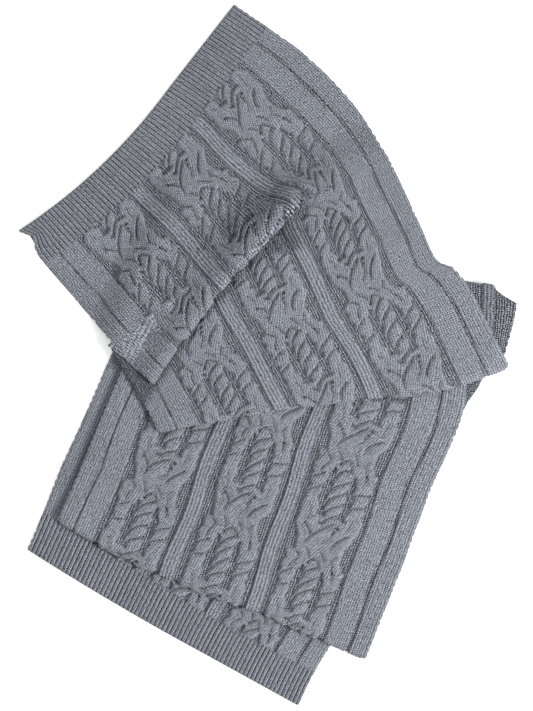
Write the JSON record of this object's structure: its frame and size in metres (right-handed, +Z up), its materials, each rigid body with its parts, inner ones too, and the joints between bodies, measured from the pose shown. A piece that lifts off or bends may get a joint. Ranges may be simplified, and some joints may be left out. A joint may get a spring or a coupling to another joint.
{
  "type": "knit scarf",
  "caption": "Wide cable-knit scarf with ribbed ends, laid flat in loose folds with one slanting pleat.",
  "frame": {"origin": "on the surface the scarf lies on, under the middle of the laid-out scarf", "axes": "+Z up; +Y towards the upper ribbed end, with the front folds facing -Y; +X to the right"},
  "size_m": [0.52, 0.734, 0.023],
  "materials": {
    "cotton_knit": "slate grey cotton knit, matte"
  },
  "bodies": {
    "root": {"upper_stretch": "cotton_knit", "upper_return": "cotton_knit", "middle_stretch": "cotton_knit", "lower_return": "cotton_knit", "lower_stretch": "cotton_knit", "folded_core": "cotton_knit"}
  },
  "joints": []
}
